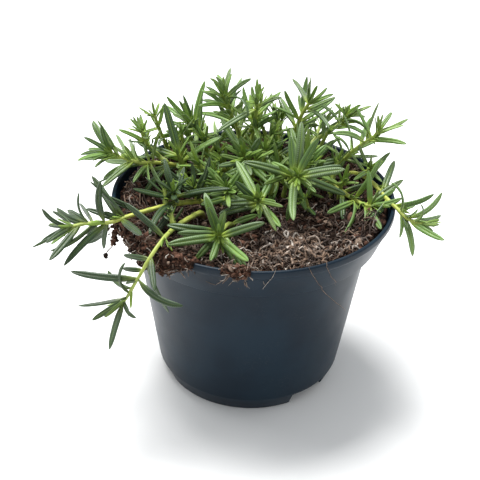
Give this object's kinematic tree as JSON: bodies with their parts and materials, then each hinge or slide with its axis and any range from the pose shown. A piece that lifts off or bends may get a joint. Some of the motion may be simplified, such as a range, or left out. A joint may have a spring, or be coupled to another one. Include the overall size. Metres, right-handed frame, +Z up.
{
  "type": "potted rosemary",
  "caption": "Young trailing rosemary with narrow crossed leaves on pale stems, growing in moist peat in a round tapered nursery pot with a broad rim band.",
  "frame": {"origin": "middle of the pad under the pot's base, on the surface that the pot stands on", "axes": "+Z up along the pot's axis; +X along the plant's longest spread, with the trailing stem towards -X"},
  "size_m": [0.1793, 0.1564, 0.1352],
  "materials": {
    "pot": "moulded polypropylene, dark slate, soft sheen",
    "soil": "moist peat with coir and fine roots",
    "foliage": "leathery green leaf, paler felt below"
  },
  "bodies": {
    "root": {"pot": "pot", "soil": "soil", "stem_left_trailing": "foliage", "stem_front_left_hanging": "foliage", "stem_left_upper": "foliage", "stem_back_left": "foliage", "stem_back_left_inner": "foliage", "stem_back_middle": "foliage", "stem_back_right": "foliage", "stem_right_upright": "foliage", "stem_right_upper": "foliage", "stem_right_trailing": "foliage", "stem_centre_right": "foliage", "stem_centre_front": "foliage", "stem_front": "foliage", "stem_inner_back": "foliage", "stem_inner_left": "foliage", "stem_inner_right": "foliage", "stem_inner_middle": "foliage"}
  },
  "joints": []
}
